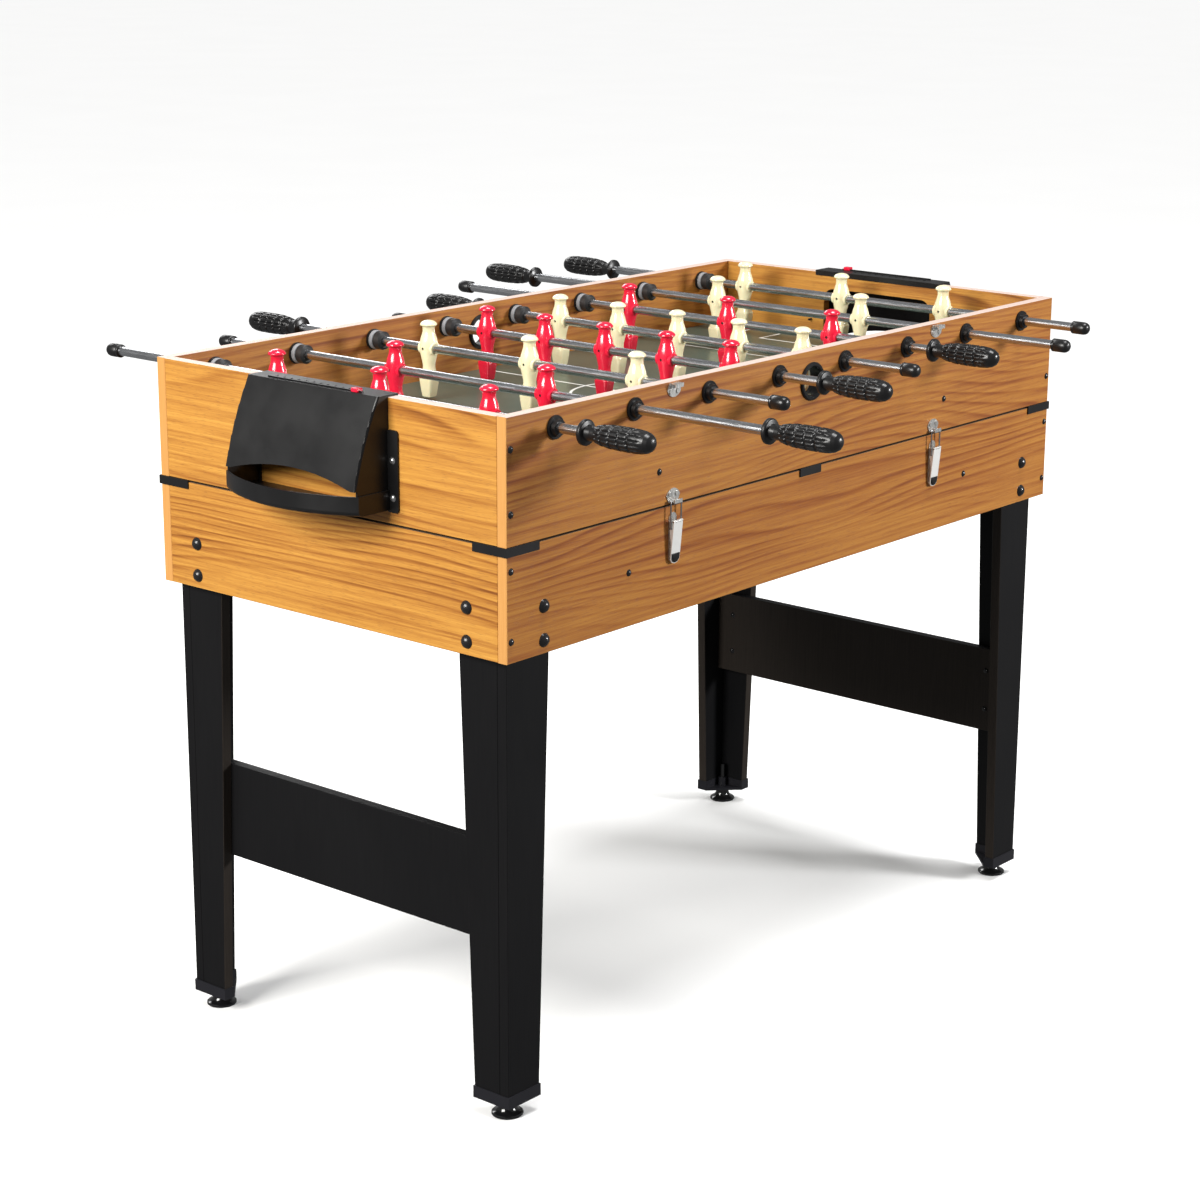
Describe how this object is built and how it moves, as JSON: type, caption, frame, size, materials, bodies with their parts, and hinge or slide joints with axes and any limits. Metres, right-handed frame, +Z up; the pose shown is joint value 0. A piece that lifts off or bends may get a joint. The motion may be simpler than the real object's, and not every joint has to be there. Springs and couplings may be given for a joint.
{
  "type": "foosball table",
  "caption": "Table-football game on four board legs, with sliding and spinning rods of men, goal hoods with ball trays, score slides and draw latches on a split cabinet.",
  "frame": {"origin": "on the floor, under the middle of the cabinet", "axes": "+X along the pitch from the left goal to the right goal, +Y along the rods towards the back, +Z up"},
  "size_m": [1.399, 1.242, 0.9285],
  "materials": {
    "wood_laminate": "satin honey wood-grain laminate",
    "green_sheet": "smooth printed dark green sheet with white lines",
    "pine": "bare sawn softwood",
    "black_moulding": "fine matte texture",
    "black_nylon": "smooth nylon; the sleeve flanges are grey",
    "bright_steel": "zinc plated, brushed lever face",
    "wire_steel": "bright drawn wire",
    "black_board": "black foil, lightly textured",
    "black_steel": "black oxide",
    "red_marker": "glossy",
    "black_foot": "glossy",
    "chrome": "polished plating",
    "red_plastic": "glossy",
    "cream_plastic": "glossy",
    "black_grip": "glossy"
  },
  "bodies": {
    "cabinet": {"upper_box": "wood_laminate", "lower_box": "wood_laminate", "playfield": "green_sheet", "lower_bed": "green_sheet", "cleats": "pine", "edge_protectors": "black_moulding", "rod_bearings": "black_nylon", "ball_rings": "black_nylon", "goal_units": "black_moulding", "latch_hardware": "bright_steel", "leg_boards": "black_board", "leg_caps": "black_moulding", "stretchers": "black_board", "fasteners": "black_steel"},
    "score_slider_left": {"score_slider_left": "red_marker"},
    "score_slider_right": {"score_slider_right": "red_marker"},
    "latch_lever_front_left": {"latch_lever_front_left": "bright_steel"},
    "latch_bail_front_left": {"latch_bail_front_left": "wire_steel"},
    "latch_lever_front_right": {"latch_lever_front_right": "bright_steel"},
    "latch_bail_front_right": {"latch_bail_front_right": "wire_steel"},
    "latch_lever_back_left": {"latch_lever_back_left": "bright_steel"},
    "latch_bail_back_left": {"latch_bail_back_left": "wire_steel"},
    "latch_lever_back_right": {"latch_lever_back_right": "bright_steel"},
    "latch_bail_back_right": {"latch_bail_back_right": "wire_steel"},
    "foot_front_left": {"foot_front_left": "black_foot"},
    "foot_front_right": {"foot_front_right": "black_foot"},
    "foot_back_left": {"foot_back_left": "black_foot"},
    "foot_back_right": {"foot_back_right": "black_foot"},
    "rod_1_bushings": {"rod_1_sleeves": "black_nylon"},
    "rod_1": {"rod_1_tube": "chrome", "rod_1_men": "red_plastic", "rod_1_grips": "black_grip"},
    "rod_2_bushings": {"rod_2_sleeves": "black_nylon"},
    "rod_2": {"rod_2_tube": "chrome", "rod_2_men": "red_plastic", "rod_2_grips": "black_grip"},
    "rod_3_bushings": {"rod_3_sleeves": "black_nylon"},
    "rod_3": {"rod_3_tube": "chrome", "rod_3_men": "cream_plastic", "rod_3_grips": "black_grip"},
    "rod_4_bushings": {"rod_4_sleeves": "black_nylon"},
    "rod_4": {"rod_4_tube": "chrome", "rod_4_men": "red_plastic", "rod_4_grips": "black_grip"},
    "rod_5_bushings": {"rod_5_sleeves": "black_nylon"},
    "rod_5": {"rod_5_tube": "chrome", "rod_5_men": "cream_plastic", "rod_5_grips": "black_grip"},
    "rod_6_bushings": {"rod_6_sleeves": "black_nylon"},
    "rod_6": {"rod_6_tube": "chrome", "rod_6_men": "red_plastic", "rod_6_grips": "black_grip"},
    "rod_7_bushings": {"rod_7_sleeves": "black_nylon"},
    "rod_7": {"rod_7_tube": "chrome", "rod_7_men": "cream_plastic", "rod_7_grips": "black_grip"},
    "rod_8_bushings": {"rod_8_sleeves": "black_nylon"},
    "rod_8": {"rod_8_tube": "chrome", "rod_8_men": "cream_plastic", "rod_8_grips": "black_grip"}
  },
  "joints": [
    {"name": "score_slider_left_slide", "type": "slide", "parent": "cabinet", "child": "score_slider_left", "axis": [0, 1, 0], "range_m": [0, 0.146]},
    {"name": "score_slider_right_slide", "type": "slide", "parent": "cabinet", "child": "score_slider_right", "axis": [0, -1, 0], "range_m": [0, 0.146]},
    {"name": "latch_lever_front_left_pivot", "type": "hinge", "parent": "cabinet", "child": "latch_lever_front_left", "pos_m": [-0.296, -0.314, 0.732], "axis": [-1, 0, 0], "range_deg": [0, 90]},
    {"name": "latch_bail_front_left_pivot", "type": "hinge", "parent": "latch_lever_front_left", "child": "latch_bail_front_left", "pos_m": [-0.296, -0.314, 0.725], "axis": [-1, 0, 0], "range_deg": [-76, 0]},
    {"name": "latch_lever_front_right_pivot", "type": "hinge", "parent": "cabinet", "child": "latch_lever_front_right", "pos_m": [0.296, -0.314, 0.732], "axis": [-1, 0, 0], "range_deg": [0, 90]},
    {"name": "latch_bail_front_right_pivot", "type": "hinge", "parent": "latch_lever_front_right", "child": "latch_bail_front_right", "pos_m": [0.296, -0.314, 0.725], "axis": [-1, 0, 0], "range_deg": [-76, 0]},
    {"name": "latch_lever_back_left_pivot", "type": "hinge", "parent": "cabinet", "child": "latch_lever_back_left", "pos_m": [-0.296, 0.314, 0.732], "axis": [1, 0, 0], "range_deg": [0, 90]},
    {"name": "latch_bail_back_left_pivot", "type": "hinge", "parent": "latch_lever_back_left", "child": "latch_bail_back_left", "pos_m": [-0.296, 0.314, 0.725], "axis": [1, 0, 0], "range_deg": [-76, 0]},
    {"name": "latch_lever_back_right_pivot", "type": "hinge", "parent": "cabinet", "child": "latch_lever_back_right", "pos_m": [0.296, 0.314, 0.732], "axis": [1, 0, 0], "range_deg": [0, 90]},
    {"name": "latch_bail_back_right_pivot", "type": "hinge", "parent": "latch_lever_back_right", "child": "latch_bail_back_right", "pos_m": [0.296, 0.314, 0.725], "axis": [1, 0, 0], "range_deg": [-76, 0]},
    {"name": "foot_front_left_level", "type": "slide", "parent": "cabinet", "child": "foot_front_left", "axis": [0, 0, -1], "range_m": [0, 0.008]},
    {"name": "foot_front_right_level", "type": "slide", "parent": "cabinet", "child": "foot_front_right", "axis": [0, 0, -1], "range_m": [0, 0.008]},
    {"name": "foot_back_left_level", "type": "slide", "parent": "cabinet", "child": "foot_back_left", "axis": [0, 0, -1], "range_m": [0, 0.008]},
    {"name": "foot_back_right_level", "type": "slide", "parent": "cabinet", "child": "foot_back_right", "axis": [0, 0, -1], "range_m": [0, 0.008]},
    {"name": "rod_1_spin", "type": "hinge", "parent": "cabinet", "child": "rod_1_bushings", "pos_m": [-0.52255, 0, 0.8895], "axis": [0, 1, 0], "continuous": true},
    {"name": "rod_1_slide", "type": "slide", "parent": "rod_1_bushings", "child": "rod_1", "axis": [0, 1, 0], "range_m": [-0.053, 0.0365]},
    {"name": "rod_2_spin", "type": "hinge", "parent": "cabinet", "child": "rod_2_bushings", "pos_m": [-0.37325, 0, 0.8895], "axis": [0, 1, 0], "continuous": true},
    {"name": "rod_2_slide", "type": "slide", "parent": "rod_2_bushings", "child": "rod_2", "axis": [0, 1, 0], "range_m": [-0.0915, 0.1515]},
    {"name": "rod_3_spin", "type": "hinge", "parent": "cabinet", "child": "rod_3_bushings", "pos_m": [-0.22395, 0, 0.8895], "axis": [0, 1, 0], "continuous": true},
    {"name": "rod_3_slide", "type": "slide", "parent": "rod_3_bushings", "child": "rod_3", "axis": [0, 1, 0], "range_m": [-0.066, 0.07]},
    {"name": "rod_4_spin", "type": "hinge", "parent": "cabinet", "child": "rod_4_bushings", "pos_m": [-0.07465, 0, 0.8895], "axis": [0, 1, 0], "continuous": true},
    {"name": "rod_4_slide", "type": "slide", "parent": "rod_4_bushings", "child": "rod_4", "axis": [0, 1, 0], "range_m": [-0.027, 0.043]},
    {"name": "rod_5_spin", "type": "hinge", "parent": "cabinet", "child": "rod_5_bushings", "pos_m": [0.07465, 0, 0.8895], "axis": [0, 1, 0], "continuous": true},
    {"name": "rod_5_slide", "type": "slide", "parent": "rod_5_bushings", "child": "rod_5", "axis": [0, 1, 0], "range_m": [-0.018, 0.052]},
    {"name": "rod_6_spin", "type": "hinge", "parent": "cabinet", "child": "rod_6_bushings", "pos_m": [0.22395, 0, 0.8895], "axis": [0, 1, 0], "continuous": true},
    {"name": "rod_6_slide", "type": "slide", "parent": "rod_6_bushings", "child": "rod_6", "axis": [0, 1, 0], "range_m": [-0.076, 0.0325]},
    {"name": "rod_7_spin", "type": "hinge", "parent": "cabinet", "child": "rod_7_bushings", "pos_m": [0.37325, 0, 0.8895], "axis": [0, 1, 0], "continuous": true},
    {"name": "rod_7_slide", "type": "slide", "parent": "rod_7_bushings", "child": "rod_7", "axis": [0, 1, 0], "range_m": [-0.1305, 0.1125]},
    {"name": "rod_8_spin", "type": "hinge", "parent": "cabinet", "child": "rod_8_bushings", "pos_m": [0.52255, 0, 0.8895], "axis": [0, 1, 0], "continuous": true},
    {"name": "rod_8_slide", "type": "slide", "parent": "rod_8_bushings", "child": "rod_8", "axis": [0, 1, 0], "range_m": [-0.084, 0.052]}
  ],
  "couplings": [
    {"joint": "latch_bail_front_left_pivot", "follows": "latch_lever_front_left_pivot", "ratio": -0.84},
    {"joint": "latch_bail_front_right_pivot", "follows": "latch_lever_front_right_pivot", "ratio": -0.84},
    {"joint": "latch_bail_back_left_pivot", "follows": "latch_lever_back_left_pivot", "ratio": -0.84},
    {"joint": "latch_bail_back_right_pivot", "follows": "latch_lever_back_right_pivot", "ratio": -0.84}
  ]
}
